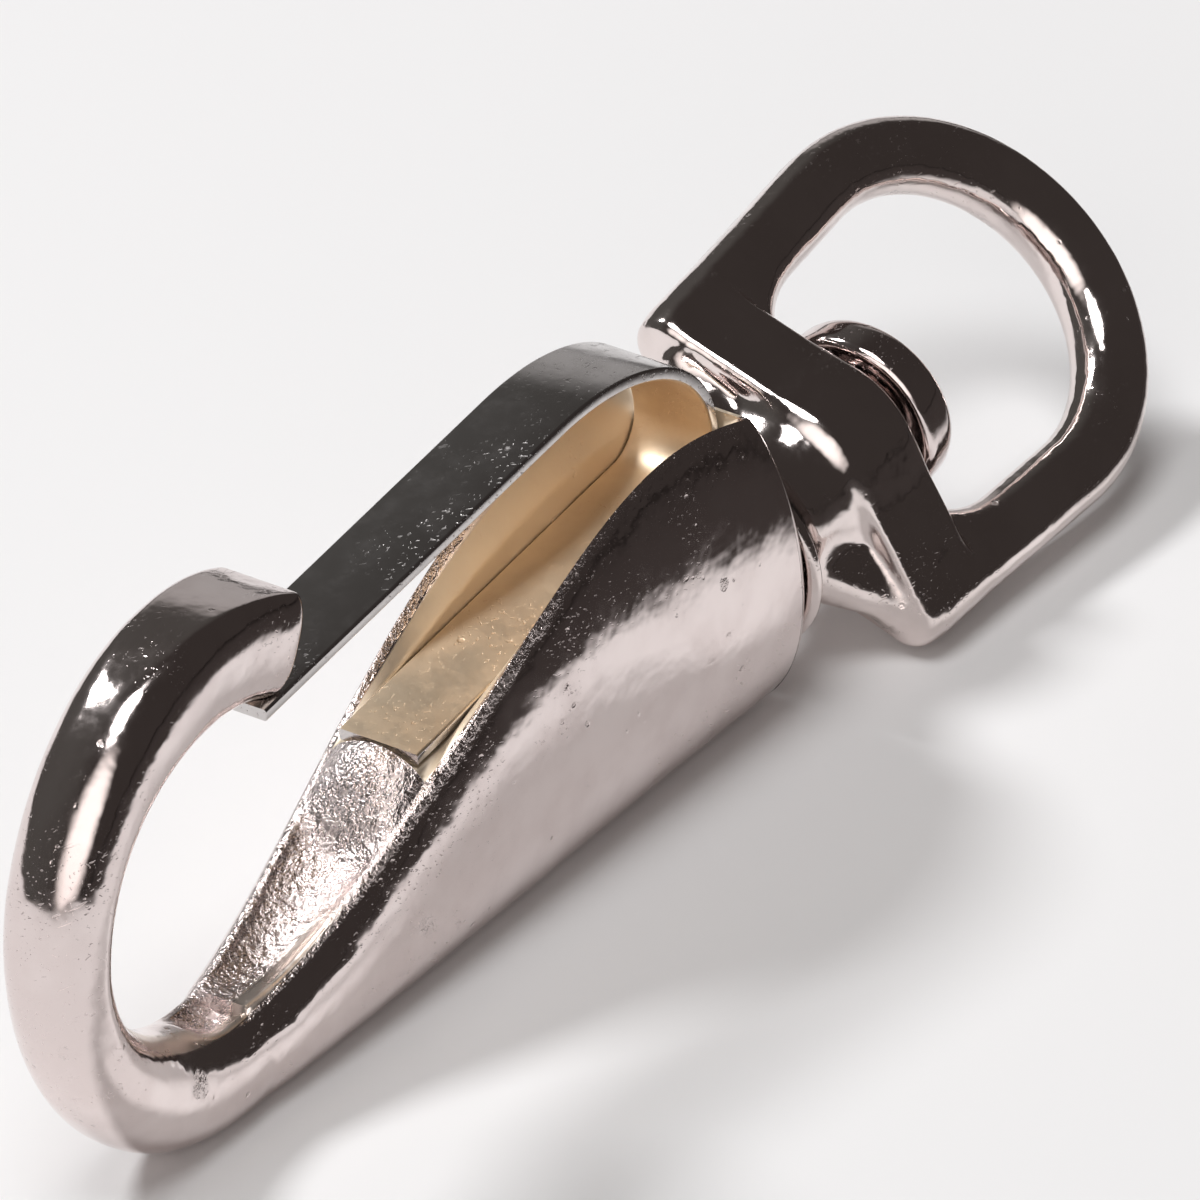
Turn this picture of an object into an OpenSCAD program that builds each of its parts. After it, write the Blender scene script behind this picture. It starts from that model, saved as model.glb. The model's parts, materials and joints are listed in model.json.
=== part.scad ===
// Spring snap hook with a swivelling D eye.
// A zinc die casting carries the open bow, a boat-shaped hull with a trough
// and the headed stud that the eye turns on.  A flat steel strip, bent like a
// hairpin, lies in the trough and springs up as the gate against the nose.
//
// Everything is drawn on the hook's own axes, with X along the swivel, Z from
// the keel towards the gate and the origin on the end face of the hull.
// rest_pose() then lays the keel flat on the ground, with the origin under
// the middle of the whole snap.

/* [Bow] */
// Thickness of the bow bar in the plane of the hook, at its far end
bow_bar_t = 4.1; // [3:0.1:6]
// Width of the bow bar across the hook
bow_bar_w = 4.7; // [3.4:0.1:6]
// Reach of the bow from the hull's end face to the middle of its bar
bow_reach = 49; // [44:0.5:60]
// Radius of the lower quarter of the bow, to the middle of its bar
bow_low_r = 11; // [9:0.1:14]
// Radius of the upper quarter of the bow, to the middle of its bar
bow_high_r = 9.9; // [8:0.1:13]
// Radius on which the nose drops towards the gate
nose_drop_r = 11; // [8:0.1:16]
// Angle through which the nose drops
nose_drop_angle = 30; // [20:1:36]
// Depth of the rounding on the nose's blunt end
nose_round = 1; // [0.6:0.1:2]
// Thickness of the bar at the nose
nose_t = 5.6; // [4:0.1:7]
// Width of the bar at the nose
nose_w = 5; // [4.4:0.1:7]

/* [Hull] */
// Depth of the shank where it leaves the bow
shank_t = 6; // [5:0.1:8]
// Greatest width of the hull, at its end face
hull_w = 10.8; // [9:0.1:14]
// Depth of the keel under the swivel axis at the end face
keel_depth = 7.2; // [6:0.1:9]
// Height of the gunwale over the swivel axis, where it is highest
gunwale_h = 11; // [9.5:0.1:12.5]
// Distance from the end face to the highest point of the gunwale
gunwale_peak = 8; // [6:0.5:11]
// How far the gunwale drops again towards the end face
gunwale_drop = 2.3; // [0.5:0.1:3]
// Height of the trough's floor over the swivel axis
floor_h = 6.2; // [5:0.1:7.5]
// Width of the flat that the keel stands on, as a depth cut off the curve
keel_flat = 0.35; // [0.2:0.05:0.5]
// Chamfer round the end face
end_chamfer = 0.8; // [0.4:0.1:1.2]

/* [Gate spring] */
// Width of the spring strip
strip_w = 4.1; // [3:0.1:4.4]
// Thickness of the spring strip
strip_t = 0.6; // [0.4:0.05:0.8]
// Length of the leg that lies on the trough's floor
floor_leg = 21.3; // [18:0.1:24]
// Radius of the bend at the floor, to the middle of the strip
floor_bend_r = 2.2; // [1.5:0.1:3]
// Length of the gate's long bend, to the middle of the strip
gate_bend_l = 11; // [8:0.1:14]
// Height of the gate's outer face over the swivel axis
gate_h = 16.3; // [14:0.1:18]
// Overlap of the gate's tip with the full bar of the nose
tip_overlap = 1.9; // [1:0.1:3]
// Gap under the floor leg, which rests on the corners of the trough
leg_gap = 0.15; // [0.1:0.01:0.2]
// Gap between the end wall and the bend
bend_gap = 0.3; // [0.1:0.05:0.6]
// Gap between each edge of the strip and the wall beside it
side_gap = 0.2; // [0.15:0.01:0.3]
// Thickness of the end wall behind the bend
end_wall_t = 1.2; // [0.8:0.1:2]

/* [Swivel] */
// Radius of the stud that the eye turns on
stud_r = 2.4; // [1.8:0.05:3]
// Radial clearance of the eye's bore round the stud
swivel_clearance = 0.08; // [0.03:0.01:0.1]
// End play of the eye between hull and head, at each side
end_play = 0.3; // [0.15:0.05:0.5]
// Radius of the upset head
head_r = 4.8; // [3.8:0.1:5.2]
// Length of the stud's root inside the hull
stud_root = 5; // [3:0.5:8]
// Depth of the dish in the head's face
head_dish = 0.25; // [0:0.05:0.5]
// Thickness of the upset head
head_t = 2.8; // [1.6:0.1:3.2]

/* [Eye] */
// Radius on the edges of the eye's bar
ring_edge = 0.8; // [0.4:0.05:1.2]
// Width of the eye's bar in its own plane
ring_w = 3.4; // [2.6:0.1:4.4]
// Thickness of the eye's bar
ring_t = 3; // [2.4:0.1:4]
// Radius of the round end, to the middle of the bar
ring_r = 8.4; // [7.5:0.1:10]
// Distance from the hull's end face to the centre of the round end
ring_centre = 18.6; // [17:0.1:22]
// Angle by which each leg leans inwards to its shoulder
leg_lean = 3; // [0:1:8]
// Length of the collar between the hull and the straight bar
collar_l = 5.2; // [4:0.1:8]
// Width of the straight bar, along the swivel
cross_w = 4.6; // [3.6:0.1:6]
// Radius of the collar beside the hull
collar_r = 5.2; // [4.2:0.1:6]
// Radius of the waist of the collar
waist_r = 4.4; // [3.8:0.1:5]
// Radius of the barrel in the middle of the straight bar
barrel_r = 5.3; // [4.6:0.1:6]
// Swivel angle at which the eye lies, from level
eye_angle = 42; // [0:1:44]

/* [Hidden] */
plated = [0.80, 0.76, 0.75];
plated_dark = [0.72, 0.69, 0.69];
spring_steel = [0.62, 0.60, 0.60];

// Path of the bow: shank line, low quarter, high quarter, nose.
shank_z = -0.85;
bow_x = -bow_reach + bow_low_r;               // end of the shank line
bow_mid_z = shank_z + bow_low_r;              // level of the far end
crown_x = -bow_reach + bow_high_r;
crown_z = bow_mid_z + bow_high_r;
nose_x = crown_x + nose_drop_r * sin(nose_drop_angle);
nose_z = crown_z - nose_drop_r * (1 - cos(nose_drop_angle));
seat_z = gate_h + 0.05;                       // the gate presses up on this
tip_x = nose_x - tip_overlap;

// The keel is one straight line from the bow to the end face.
keel_slope = (keel_depth + shank_z - shank_t / 2) / -bow_x;
keel_angle = atan(keel_slope);
ground = keel_depth * cos(keel_angle) - keel_flat;

// The strip's mid line.
leg_z = floor_h + leg_gap + strip_t / 2;
gate_z = gate_h - strip_t / 2;
bend_z = leg_z + floor_bend_r;
gate_bend_r = gate_z - bend_z;
bend_right = -end_wall_t - bend_gap - strip_t / 2;
floor_bend_x = bend_right - floor_bend_r;
gate_bend_x = bend_right - gate_bend_l;
leg_end_x = floor_bend_x - floor_leg;

// The eye.
waist_x = end_play + collar_l * 0.55;
bar_x0 = end_play + collar_l;
bar_x1 = bar_x0 + cross_w;
head_x = bar_x1 + end_play;

function smooth(x, x0, x1) =
    let (t = min(1, max(0, (x - x0) / (x1 - x0)))) t * t * (3 - 2 * t);
function mix(a, b, t) = a + (b - a) * t;

// Gunwale height: a smooth rise from the shank, then a shallow fall.
RIM_FRACTION = 0.8;                           // rim corner, as a share of the half height
shank_rim = shank_z + RIM_FRACTION * shank_t / 2;
function rim(x) =
    mix(shank_rim, gunwale_h, smooth(x, bow_x - 2, -gunwale_peak))
    - gunwale_drop * pow(max(0, (x + gunwale_peak) / gunwale_peak), 2);
function keel(x) = -keel_depth - keel_slope * x;
// Level of the greatest width, and the half width there.
function widest(x) = mix(shank_z, 1.5, smooth(x, bow_x, 0.2 * bow_x));
function half_w(x) =
    mix(bow_bar_w + 0.3, hull_w, pow(max(0, 1 - x / bow_x), 0.75)) / 2;
// Power of the flanks over it: oval at the bow and at the end face, fuller
// beside the end of the strip, so that the walls keep their thickness.
full_x = 0.63 * bow_x;
function flank(x) = mix(2, 2.6, min(smooth(x, bow_x, full_x), 1 - smooth(x, full_x, 0.16 * bow_x)));
function rim_half_w(x) = half_w(x) * pow(1 - pow(RIM_FRACTION, flank(x)), 1 / flank(x));

// Trough floor: a shallow groove up to the step that stops the strip, the
// flat floor under it, and a hollow that follows the strip's bend.
groove_depth = 0.7;
step_x = leg_end_x - 0.15;
hollow_r = floor_bend_r + strip_t / 2 + bend_gap;
function hollow(x) =
    let (d = x - floor_bend_x)
    d <= 0 ? floor_h :
    d >= hollow_r ? 99 : max(floor_h, bend_z - sqrt(hollow_r * hollow_r - d * d));
function groove(x) =
    mix(rim(x) - groove_depth, leg_z + strip_t / 2, smooth(x, step_x - 4, step_x));
function trough(x) =
    x < step_x ? groove(x) : x < floor_bend_x ? floor_h : min(rim(x), hollow(x));

// A section is [half width, top, bottom, upper power, lower power,
// trough amount, trough floor, trough power, land] on an axis point, with
// the inside of the hook as its up side.
N_OUT = 32;                                   // steps round the outside of a section
N_IN = 12;                                    // steps across its trough
groove_power = 1.7;                           // a rounded groove in the shank
trough_power = 16;                            // square corners beside the strip
groove_land = 0.35;                           // flat left on each side of the groove

function spow(v, p) = (v < 0 ? -1 : 1) * pow(abs(v), p);
function section(a, top, bottom, nu, nl, g, f, q, land) =
    let (
        u_rim = a * pow(1 - pow(RIM_FRACTION, nu), 1 / nu),
        start = acos(pow(RIM_FRACTION, nu / 2)),
        a_in = max(0.3, u_rim - land),
        v_rim = top * RIM_FRACTION
    )
    concat(
        [for (i = [0 : N_OUT])
            let (t = mix(start, 360 - start, i / N_OUT), n = cos(t) > 0 ? nu : nl,
                 h = cos(t) > 0 ? top : bottom)
            [a * spow(sin(t), 2 / n), h * spow(cos(t), 2 / n)]],
        [for (i = [1 : N_IN - 1])
            let (w = 180 * i / N_IN, u = -a_in * spow(cos(w), 2 / q),
                 deep = v_rim - (v_rim - f) * pow(sin(w), 2 / q),
                 high = top * pow(max(0, 1 - pow(abs(u) / a, nu)), 1 / nu))
            [u, mix(high, deep, g)]]
    );

// One station of the hull at x, on the swivel axis.
function hull_station(x) =
    let (
        zw = widest(x),
        r = rim(x),
        g = smooth(x, bow_x - 3, bow_x + 4),
        power = x < step_x ? groove_power : trough_power,
        land = x < step_x ? groove_land : rim_half_w(x) - strip_w / 2 - side_gap,
        s = section(half_w(x), (r - zw) / RIM_FRACTION, zw - keel(x),
            flank(x), mix(2, 2.2, smooth(x, bow_x, 0.53 * bow_x)),
            g, trough(x) - zw, power, land)
    )
    [for (p = s) [x, p[0], zw + p[1]]];

// One station of the bow, square to its direction of travel: 180 degrees at
// the shank, 90 at the far end, 0 at the crown and below 0 on the nose.
function bow_station(c, travel, t, w, power, g, grow = 1, face = 1) =
    let (s = section(w / 2, t / 2, t / 2, power, power, g,
        RIM_FRACTION * t / 2 - 0.5, groove_power, groove_land))
    [for (p = s) let (v = grow * max(p[1], -face * t / 2))
        [c[0] + v * sin(travel), grow * p[0], c[1] - v * cos(travel)]];
function on_arc(centre, r, travel) = [centre[0] - r * sin(travel), centre[1] + r * cos(travel)];

BOW_STEPS = 14;
low_quarter = [for (i = [1 : BOW_STEPS])
    let (f = i / BOW_STEPS, travel = 180 - 90 * f)
    bow_station(on_arc([bow_x, bow_mid_z], bow_low_r, travel), travel,
        mix(shank_t, bow_bar_t, smooth(f, 0, 1)), mix(bow_bar_w + 0.3, bow_bar_w, f), 2,
        1 - smooth(f, 0.1, 0.3))];
high_quarter = [for (i = [1 : BOW_STEPS])
    let (f = i / BOW_STEPS, travel = 90 - 90 * f)
    bow_station(on_arc([crown_x, bow_mid_z], bow_high_r, travel), travel,
        mix(bow_bar_t, nose_t, smooth(f, 0.3, 1)), mix(bow_bar_w, nose_w, f),
        mix(2, 2.6, f), 0, 1, mix(1, 0.9, smooth(f, 0.7, 1)))];
nose = [for (i = [1 : 6])
    let (f = i / 6, travel = -nose_drop_angle * f)
    bow_station(on_arc([crown_x, crown_z - nose_drop_r], nose_drop_r, travel), travel,
        nose_t, nose_w, mix(2.6, 3, f), 0, 1, mix(0.9, 0.8, f))];
// The blunt end of the nose: an oval rounding over the last bit of its bar.
nose_end = [for (i = [1 : 5])
    let (a = 90 * i / 5.4, ahead = nose_round * sin(a))
    bow_station([nose_x + ahead * cos(nose_drop_angle), nose_z - ahead * sin(nose_drop_angle)],
        -nose_drop_angle, nose_t, nose_w, 3, 0, pow(cos(a), 0.45), 0.8)];

hull_x = concat(
    [for (i = [1 : 6]) -end_wall_t - hollow_r * (1 - cos(90 * i / 6))],
    [for (i = [1 : 10]) mix(floor_bend_x, step_x + 0.05, i / 10)],
    [for (i = [0 : 8]) mix(step_x - 0.05, bow_x, i / 8)]
);
// The end face is chamfered towards a point on the swivel axis.
function chamfered(station) =
    let (k = 1 - end_chamfer / keel_depth) [for (p = station) [0, p[1] * k, p[2] * k]];
// The flat on the keel, cut along the ground.
function on_ground(station) =
    [for (p = station) [p[0], p[1], max(p[2], -(ground + p[0] * sin(keel_angle)) / cos(keel_angle))]];

stations = [for (s = concat(
    [chamfered(hull_station(0)), hull_station(-end_chamfer), hull_station(-end_wall_t)],
    [for (x = hull_x) hull_station(x)],
    low_quarter, high_quarter, nose, nose_end)) on_ground(s)];

function middle(ring) = [for (p = ring) 1] * ring / len(ring);
// A closed skin over equal rings of points, each end closed by a fan.
module skin(rings) {
    n = len(rings[0]);
    last = len(rings) - 1;
    points = concat([for (r = rings) for (p = r) p], [middle(rings[0]), middle(rings[last])]);
    sides = [for (i = [0 : last - 1]) for (j = [0 : n - 1])
        let (k = (j + 1) % n)
        each [[i * n + j, (i + 1) * n + j, (i + 1) * n + k], [i * n + j, (i + 1) * n + k, i * n + k]]];
    caps = [for (j = [0 : n - 1]) let (k = (j + 1) % n)
        each [[(last + 1) * n, j, k], [(last + 1) * n + 1, last * n + k, last * n + j]]];
    polyhedron(points, concat(sides, caps), convexity = 8);
}

// Ends of the whole snap in the rest pose, to centre it over the origin.
far_end = crown_x * cos(keel_angle) - bow_mid_z * sin(keel_angle) - bow_high_r - bow_bar_t / 2;
eye_end = (ring_centre + ring_r + ring_w / 2) * cos(keel_angle);
module rest_pose() {
    translate([-(far_end + eye_end) / 2, 0, ground]) rotate([0, -keel_angle, 0]) children();
}

// Points of an arc about x, y.
function round_corner(x, y, r, from, to, n = 6) =
    [for (i = [0 : n]) let (a = mix(from, to, i / n)) [x + r * cos(a), y + r * sin(a)]];

// Stud and its upset head, turned about the swivel axis.
module stud() {
    head_edge = head_t * 0.32;
    profile = concat(
        [[0, -stud_root], [stud_r, -stud_root], [stud_r, head_x]],
        round_corner(head_r - head_edge, head_x + head_edge, head_edge, -90, 0),
        round_corner(head_r - 2 * head_edge, head_x + head_t - 2 * head_edge, 2 * head_edge, 0, 90),
        [[0, head_x + head_t - head_dish]]
    );
    rotate([0, 90, 0]) rotate_extrude($fn = 64) polygon(profile);
}

module hook_body() {
    color(plated) rest_pose() difference() {
        union() {
            skin(stations);
            stud();
        }
        // Seat for the gate's tip under the nose.
        translate([tip_x - 0.4, -nose_w, seat_z - 3]) cube([8, 2 * nose_w, 3]);
    }
}

// Mid line of the strip, from the gate's tip to the end on the trough floor.
function strip_line(d) = concat(
    [[tip_x, gate_z + d]],
    [for (i = [0 : 18]) let (a = 90 - 5 * i)
        [gate_bend_x + (gate_bend_l + d) * cos(a), bend_z + (gate_bend_r + d) * sin(a)]],
    round_corner(floor_bend_x, bend_z, floor_bend_r + d, 0, -90, 12),
    [[leg_end_x, leg_z - d]]
);
module gate_spring() {
    outside = strip_line(strip_t / 2);
    inside = strip_line(-strip_t / 2);
    color(spring_steel) rest_pose()
        translate([0, strip_w / 2, 0]) rotate([90, 0, 0]) linear_extrude(strip_w)
            polygon(concat(outside, [for (i = [len(inside) - 1 : -1 : 0]) inside[i]]));
}

// Section of the eye's bar, centred, with all four edges rounded.
module bar_section(inset = 0) {
    r = ring_edge - inset;
    w = ring_w / 2 - ring_edge;
    t = ring_t / 2 - ring_edge;
    polygon(concat(round_corner(w, t, r, 0, 90, 5), round_corner(-w, t, r, 90, 180, 5),
        round_corner(-w, -t, r, 180, 270, 5), round_corner(w, -t, r, 270, 360, 5)));
}
// Knuckle where a leg meets the straight bar.
module shoulder() {
    rotate_extrude($fn = 32) intersection() {
        bar_section();
        translate([0, -ring_t]) square([ring_w, 2 * ring_t]);
    }
}
// A leg with its two webs, which fill the corners to the bar and the collar.
module eye_half() {
    lap = 0.2;
    tangent = [ring_centre - ring_r * sin(leg_lean), ring_r * cos(leg_lean)];
    leg_l = (tangent[0] - bar_x0 - ring_w / 2) / cos(leg_lean);
    knuckle = [tangent[0] - leg_l * cos(leg_lean), tangent[1] - leg_l * sin(leg_lean), 0];
    translate([tangent[0], tangent[1], 0]) rotate([0, 0, 180 + leg_lean]) rotate([90, 0, 90])
        translate([0, 0, -lap]) linear_extrude(leg_l + lap) bar_section(0.01);
    hull() {
        translate([bar_x0 + 0.2, 0, 0]) rotate([0, 90, 0])
            cylinder(r = barrel_r * 0.94, h = cross_w - 0.6, $fn = 32);
        translate(knuckle) shoulder();
    }
    hull() {
        translate([waist_x, 0, 0]) rotate([0, 90, 0])
            cylinder(r = waist_r * 0.9, h = 0.4, $fn = 32);
        translate(knuckle) scale([0.8, 0.8, 0.9]) shoulder();
    }
}
module swivel_eye() {
    barrel_edge = 0.8;
    profile = concat(
        [[0, end_play], [collar_r - 0.4, end_play], [collar_r, end_play + 0.4]],
        [for (i = [1 : 8]) let (f = i / 8)
            [mix(collar_r, waist_r, sin(90 * f)), mix(end_play + 0.6, waist_x, f)]],
        [for (i = [1 : 6]) let (f = i / 6)
            [mix(waist_r, barrel_r, 1 - cos(90 * f)), mix(waist_x, bar_x0 + 0.4, f)]],
        round_corner(barrel_r - barrel_edge, bar_x1 - barrel_edge, barrel_edge, 0, 90),
        [[0, bar_x1]]
    );
    color(plated_dark) rest_pose() rotate([eye_angle, 0, 0]) difference() {
        union() {
            translate([ring_centre, 0, 0]) rotate([0, 0, -90 - leg_lean])
                rotate_extrude(angle = 180 + 2 * leg_lean, $fn = 96) translate([ring_r, 0]) bar_section();
            eye_half();
            mirror([0, 1, 0]) eye_half();
            rotate([0, 90, 0]) rotate_extrude($fn = 64) polygon(profile);
        }
        rotate([0, 90, 0]) cylinder(r = stud_r + swivel_clearance, h = bar_x1 + 2, $fn = 48);
    }
}

hook_body();
gate_spring();
swivel_eye();
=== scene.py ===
# Spring snap hook with a swivelling eye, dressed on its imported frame.
# The casting, the strip spring and the eye are worked out on the hook's own
# axes in millimetres, then laid where the swivel joint says the hook is.
import math

import bpy
import numpy as np
from mathutils import Matrix, Vector
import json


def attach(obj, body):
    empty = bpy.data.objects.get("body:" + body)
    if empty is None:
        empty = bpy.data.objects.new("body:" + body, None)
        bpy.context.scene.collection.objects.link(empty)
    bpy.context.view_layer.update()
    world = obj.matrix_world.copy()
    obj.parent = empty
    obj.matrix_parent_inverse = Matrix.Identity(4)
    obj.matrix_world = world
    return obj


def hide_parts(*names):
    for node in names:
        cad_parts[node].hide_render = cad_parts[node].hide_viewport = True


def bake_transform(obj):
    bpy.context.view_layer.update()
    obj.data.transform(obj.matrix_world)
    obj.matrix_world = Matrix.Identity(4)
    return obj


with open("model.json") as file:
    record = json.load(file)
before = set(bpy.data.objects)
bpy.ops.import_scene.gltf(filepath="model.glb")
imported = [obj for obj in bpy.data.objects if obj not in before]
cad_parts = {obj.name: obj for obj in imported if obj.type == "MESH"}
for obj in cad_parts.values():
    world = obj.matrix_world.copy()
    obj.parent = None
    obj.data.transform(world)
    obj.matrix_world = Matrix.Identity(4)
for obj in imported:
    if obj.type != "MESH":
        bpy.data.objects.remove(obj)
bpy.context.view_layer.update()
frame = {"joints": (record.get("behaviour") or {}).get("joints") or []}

# ------------------------------------------------------------------ casting
# One zinc die casting: a bow that runs from the shank round to the nose, a
# boat-shaped hull with a trough for the spring, and the stud of the swivel,
# which is headed over the eye.  The whole is tumbled and nickel plated.

# The hook lies with its keel on the ground, so its own X axis, along the
# swivel, climbs gently.  The joint of the eye gives that axis, and the middle
# of the hull's end face, which the hook is measured from.
MM = 0.001
swivel = next(j for j in frame["joints"] if j["name"] == "eye_swivel")
hook_origin = np.array(swivel["pos_m"])
hook_x = np.array(swivel["axis"]) / np.linalg.norm(swivel["axis"])
hook_y = np.array([0.0, 1.0, 0.0])
hook_z = np.cross(hook_x, hook_y)
hook_axes = np.stack([hook_x, hook_y, hook_z])

# Sizes in millimetres.
bow_bar_t, bow_bar_w = 4.1, 4.7
bow_reach, bow_low_r, bow_high_r = 49.0, 11.0, 9.9
nose_drop_r, nose_drop = 11.0, math.radians(30)
nose_round, nose_t, nose_w = 1.0, 5.6, 5.0
shank_t, hull_w, keel_depth = 6.0, 10.8, 7.2
gunwale_h, gunwale_peak, gunwale_drop = 11.0, 8.0, 2.3
side_gap, floor_h, keel_flat, end_chamfer = 0.06, 6.2, 0.35, 0.8
strip_w, strip_t, floor_leg, floor_bend_r = 4.1, 0.6, 21.3, 2.2
gate_h, gate_bend_l, tip_overlap = 16.3, 11.0, 1.9
leg_gap, bend_gap, end_wall_t = 0.15, 0.3, 1.2
stud_r, end_play, collar_l, cross_w = 2.4, 0.3, 5.2, 4.6
head_r, head_t, head_dish, neck = 4.3, 2.3, 0.25, 0.8

shank_z = -0.85
bow_x, bow_mid_z = -bow_reach + bow_low_r, shank_z + bow_low_r
crown_x, crown_z = -bow_reach + bow_high_r, shank_z + bow_low_r + bow_high_r
nose_x = crown_x + nose_drop_r * math.sin(nose_drop)
nose_z = crown_z - nose_drop_r * (1 - math.cos(nose_drop))
seat_z = gate_h + 0.05
keel_slope = (keel_depth + shank_z - shank_t / 2) / -bow_x
keel_angle = math.atan(keel_slope)
leg_z = floor_h + leg_gap + strip_t / 2
gate_z = gate_h - strip_t / 2
bend_z = leg_z + floor_bend_r
gate_bend_r = gate_z - bend_z
bend_right = -end_wall_t - bend_gap - strip_t / 2
floor_bend_x, gate_bend_x = bend_right - floor_bend_r, bend_right - gate_bend_l
leg_end_x, tip_x = floor_bend_x - floor_leg, nose_x - tip_overlap
step_x = leg_end_x - 0.15
hollow_r = floor_bend_r + strip_t / 2 + bend_gap
bar_x0 = end_play + collar_l
bar_x1 = bar_x0 + cross_w
head_x = bar_x1 + neck
full_x = 0.63 * bow_x
groove_depth, groove_power, groove_land, trough_power = 0.7, 1.7, 0.35, 16
# The rim's share of a section's height, and the points round a section.
RIM = 0.8
OUT_POINTS, IN_POINTS = 128, 72


def placed(points):
    """Points in millimetres on the hook's axes, as metres in the frame."""
    return hook_origin + np.asarray(points, float) @ hook_axes * MM


def mix(a, b, t):
    """A straight blend, a at 0 and b at 1."""
    return a + (b - a) * t


def smooth(x, x0, x1):
    """An eased step from 0 at x0 to 1 at x1: 3 t squared less 2 t cubed."""
    t = np.clip((x - x0) / (x1 - x0), 0, 1)
    return t * t * (3 - 2 * t)


def new_object(name, verts, faces, smooth_below=32):
    """A mesh object of the given faces, shaded smooth below the angle."""
    mesh = bpy.data.meshes.new(name)
    mesh.from_pydata(verts.tolist(), [], faces)
    mesh.update()
    obj = bpy.data.objects.new(name, mesh)
    bpy.context.scene.collection.objects.link(obj)
    mesh.shade_smooth()
    mesh.set_sharp_from_angle(angle=math.radians(smooth_below))
    return obj


def ring_faces(count, size):
    """Four-sided faces between equal closed rings laid one after another."""
    i = np.arange(count - 1)[:, None] * size
    j = np.arange(size)[None]
    k = (j + 1) % size
    quads = np.stack(np.broadcast_arrays(i + j, i + size + j, i + size + k, i + k), -1)
    return quads.reshape(-1, 4).tolist()


def capped_faces(count, size):
    """The faces between equal closed rings, and one flat face over each end ring."""
    end = list(range((count - 1) * size, count * size))
    return ring_faces(count, size) + [list(range(size)), end[::-1]]


def rounded(corners, radius, steps=5):
    """An open outline whose inner corners are quadratic curves of about the radius."""
    corners = np.asarray(corners, float)
    radius = np.broadcast_to(radius, len(corners))
    out = [corners[0]]
    t = np.linspace(0, 1, steps + 1)[:, None]
    for a, b, c, r in zip(corners[:-2], corners[1:-1], corners[2:], radius[1:-1]):
        back, on = a - b, c - b
        lengths = np.linalg.norm(back), np.linalg.norm(on)
        cut = min(r, lengths[0] * 0.48, lengths[1] * 0.48)
        p, q = b + back / lengths[0] * cut, b + on / lengths[1] * cut
        out += list((1 - t) ** 2 * p + 2 * t * (1 - t) * b + t * t * q)
    return np.array(out + [corners[-1]])


def rim(x):
    """Gunwale height: an eased rise from the shank, then a shallow parabola down."""
    rise = mix(shank_z + RIM * shank_t / 2, gunwale_h, smooth(x, bow_x - 2, -gunwale_peak))
    return rise - gunwale_drop * np.maximum(0, (x + gunwale_peak) / gunwale_peak) ** 2


def trough(x):
    """Trough floor: a groove up to the step, the flat floor, a hollow round the bend."""
    groove = mix(rim(x) - groove_depth, leg_z + strip_t / 2, smooth(x, step_x - 4, step_x))
    d = np.clip(x - floor_bend_x, 0, hollow_r)
    hollow = np.maximum(floor_h, bend_z - np.sqrt(hollow_r ** 2 - d ** 2))
    hollow = np.minimum(rim(x), np.where(x - floor_bend_x >= hollow_r, 99, hollow))
    return np.where(x < step_x, groove, np.where(x < floor_bend_x, floor_h, hollow))


def flank(x):
    """Power of the hull's flanks: oval at the bow and the end face, fuller between."""
    full = np.minimum(smooth(x, bow_x, full_x), 1 - smooth(x, full_x, 0.16 * bow_x))
    return mix(2, 2.6, full)


def sections(a, top, bottom, upper, lower, amount, floor, power, land, soften):
    """Closed outlines, one a row: a superellipse below the rim and, between the
    rim's lands, a superelliptic trough.  Each is even along its length, and a
    Gaussian blur along that length rounds its corners."""
    a, top, bottom, upper, lower, amount, floor, power, land, soften = (
        np.asarray(v, float)[:, None]
        for v in np.broadcast_arrays(a, top, bottom, upper, lower, amount, floor, power,
                                     land, soften)
    )
    signed = lambda v, p: np.sign(v) * np.abs(v) ** p
    start = np.arccos(RIM ** (upper / 2))
    t = mix(start, 2 * math.pi - start, np.linspace(0, 1, 900)[None])
    n = np.where(np.cos(t) > 0, upper, lower)
    outer_u = a * signed(np.sin(t), 2 / n)
    outer_v = np.where(np.cos(t) > 0, top, bottom) * signed(np.cos(t), 2 / n)
    rim_u = a * (1 - RIM ** upper) ** (1 / upper)
    inner = np.maximum(0.3, rim_u - land)
    w = math.pi * np.linspace(0, 1, 400)[None, 1:-1]
    inner_u = -inner * signed(np.cos(w), 2 / power)
    deep = top * RIM - (top * RIM - floor) * np.sin(w) ** (2 / power)
    high = top * np.maximum(0, 1 - (np.abs(inner_u) / a) ** upper) ** (1 / upper)
    loop = np.stack([
        np.concatenate([outer_u, inner_u, outer_u[:, :1]], 1),
        np.concatenate([outer_v, mix(high, deep, amount), outer_v[:, :1]], 1)], -1)
    along = np.concatenate([np.zeros((len(a), 1)),
                            np.cumsum(np.linalg.norm(np.diff(loop, axis=1), axis=2), 1)], 1)
    dense, size = 1024, along[:, -1]
    out = np.empty((len(a), OUT_POINTS + IN_POINTS, 2))
    for i, (points, s, whole) in enumerate(zip(loop, along, size)):
        even = np.arange(dense) * whole / dense
        line = np.interp(even, s, points[:, 0]) + 1j * np.interp(even, s, points[:, 1])
        waves = np.fft.fftfreq(dense, whole / dense)
        line = np.fft.ifft(np.fft.fft(line) * np.exp(-2 * (math.pi * waves * soften[i, 0]) ** 2))
        to_rim = s[outer_u.shape[1] - 1]
        at = np.concatenate([np.linspace(0, to_rim, OUT_POINTS, endpoint=False),
                             np.linspace(to_rim, whole, IN_POINTS, endpoint=False)])
        even, line = np.append(even, whole), np.append(line, line[0])
        out[i, :, 0] = np.interp(at, even, line.real)
        out[i, :, 1] = np.interp(at, even, line.imag)
    return out


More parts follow.
